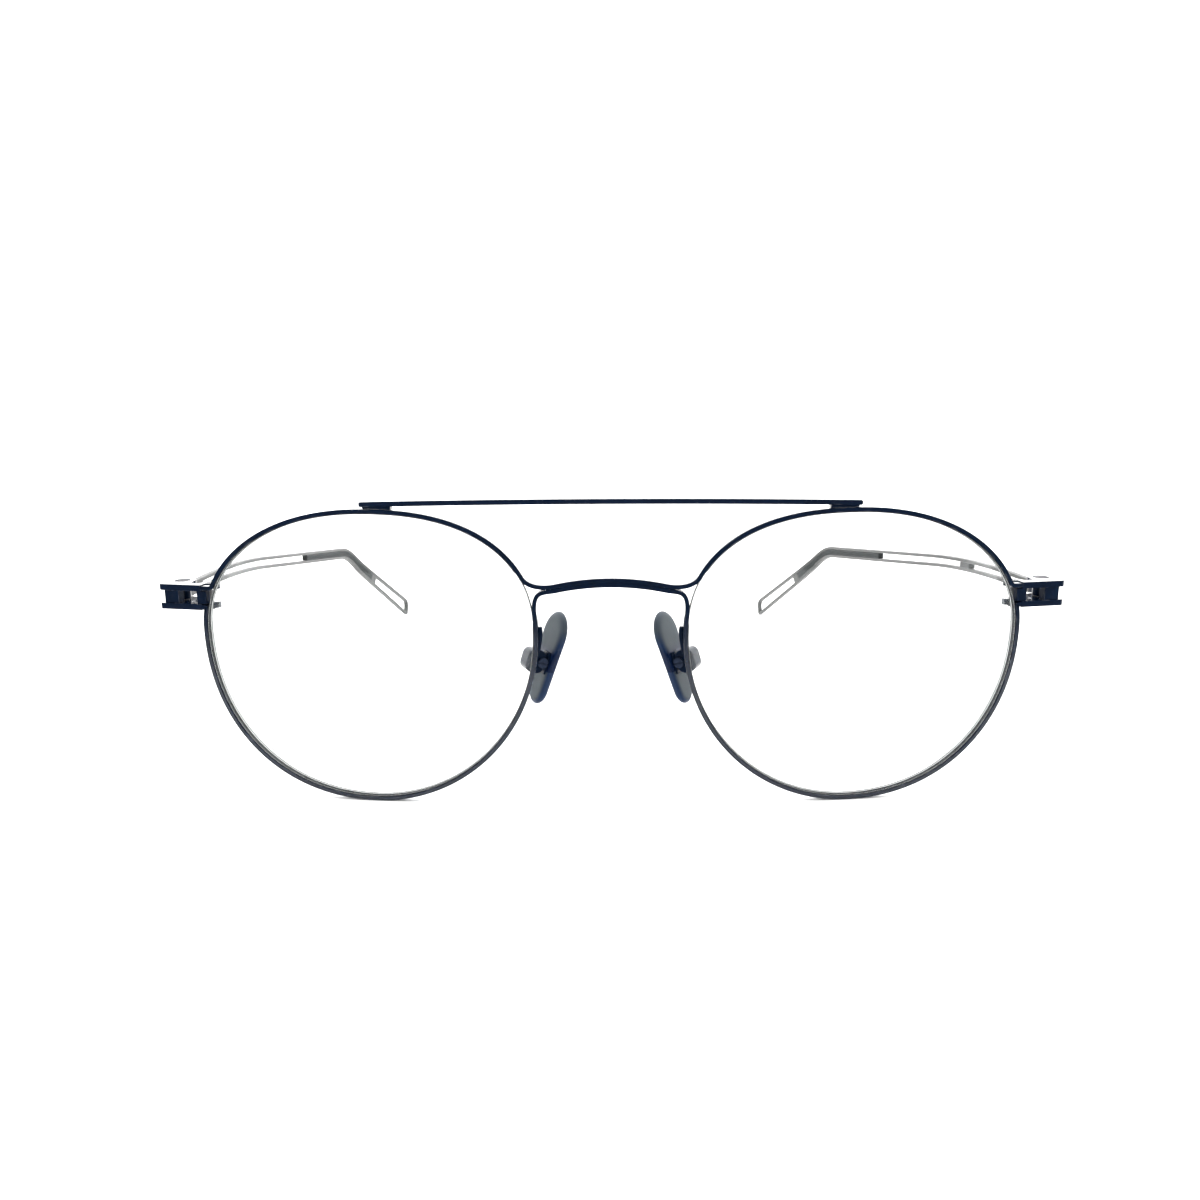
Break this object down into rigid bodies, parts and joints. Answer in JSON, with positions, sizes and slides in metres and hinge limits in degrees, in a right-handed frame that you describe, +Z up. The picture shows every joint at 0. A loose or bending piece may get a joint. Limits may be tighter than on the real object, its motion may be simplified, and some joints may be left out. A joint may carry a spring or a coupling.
{
  "type": "eyeglass frame",
  "caption": "Double-wire metal eyeglass frame with round lenses, straight brow bar, folding two-wire temples and rocking nose pads.",
  "frame": {"origin": "centre of the footprint, on the surface that the two rims and the two temple tips stand on", "axes": "+X to the wearer's left, +Y from the front to the temple tips, +Z up; the lenses face -Y"},
  "size_m": [0.1368, 0.1455, 0.0465],
  "materials": {
    "lacquered_metal": "satin navy-black lacquer",
    "screw_steel": "dark polished steel",
    "lens": "clear, polished",
    "ear_insert": "matte smoke grey",
    "nose_pad": "matte smoke grey silicone"
  },
  "bodies": {
    "front": {"upper_rim_wire": "lacquered_metal", "lower_rim_wire": "lacquered_metal", "brow_bar": "lacquered_metal", "right_brow_spacer": "lacquered_metal", "left_brow_spacer": "lacquered_metal", "right_lens": "lens", "left_lens": "lens", "right_upper_plate": "lacquered_metal", "left_upper_plate": "lacquered_metal", "right_lower_plate": "lacquered_metal", "left_lower_plate": "lacquered_metal", "right_closing_block": "lacquered_metal", "left_closing_block": "lacquered_metal", "right_closing_screw": "screw_steel", "left_closing_screw": "screw_steel", "right_hinge_post": "lacquered_metal", "left_hinge_post": "lacquered_metal", "right_hinge_screw": "screw_steel", "left_hinge_screw": "screw_steel", "right_hinge_washers": "screw_steel", "left_hinge_washers": "screw_steel", "right_pad_arm": "lacquered_metal", "left_pad_arm": "lacquered_metal", "right_pad_holder": "lacquered_metal", "left_pad_holder": "lacquered_metal", "right_pad_screw": "screw_steel", "left_pad_screw": "screw_steel"},
    "right_temple": {"right_hinge_knuckle": "lacquered_metal", "right_temple_wire": "lacquered_metal", "right_ear_insert": "ear_insert", "right_tail_block": "lacquered_metal"},
    "left_temple": {"left_hinge_knuckle": "lacquered_metal", "left_temple_wire": "lacquered_metal", "left_temple_spacer": "screw_steel", "left_ear_insert": "ear_insert", "left_tail_block": "lacquered_metal"},
    "right_pad": {"right_pad_lug": "lacquered_metal", "right_nose_pad": "nose_pad"},
    "left_pad": {"left_pad_lug": "lacquered_metal", "left_nose_pad": "nose_pad"}
  },
  "joints": [
    {"name": "right_temple_fold", "type": "hinge", "parent": "front", "child": "right_temple", "pos_m": [-0.06575, -0.0625, 0.03144], "axis": [0, 0.035, -0.9994], "range_deg": [0, 79.8]},
    {"name": "left_temple_fold", "type": "hinge", "parent": "front", "child": "left_temple", "pos_m": [0.06575, -0.0625, 0.03144], "axis": [0, -0.035, 0.9994], "range_deg": [0, 77.7]},
    {"name": "right_pad_rock", "type": "hinge", "parent": "front", "child": "right_pad", "pos_m": [-0.0108, -0.0662, 0.02135], "axis": [-0.4226, 0.9058, 0.0317], "range_deg": [-8, 8]},
    {"name": "left_pad_rock", "type": "hinge", "parent": "front", "child": "left_pad", "pos_m": [0.0108, -0.0662, 0.02135], "axis": [0.4226, 0.9058, 0.0317], "range_deg": [-8, 8]}
  ]
}
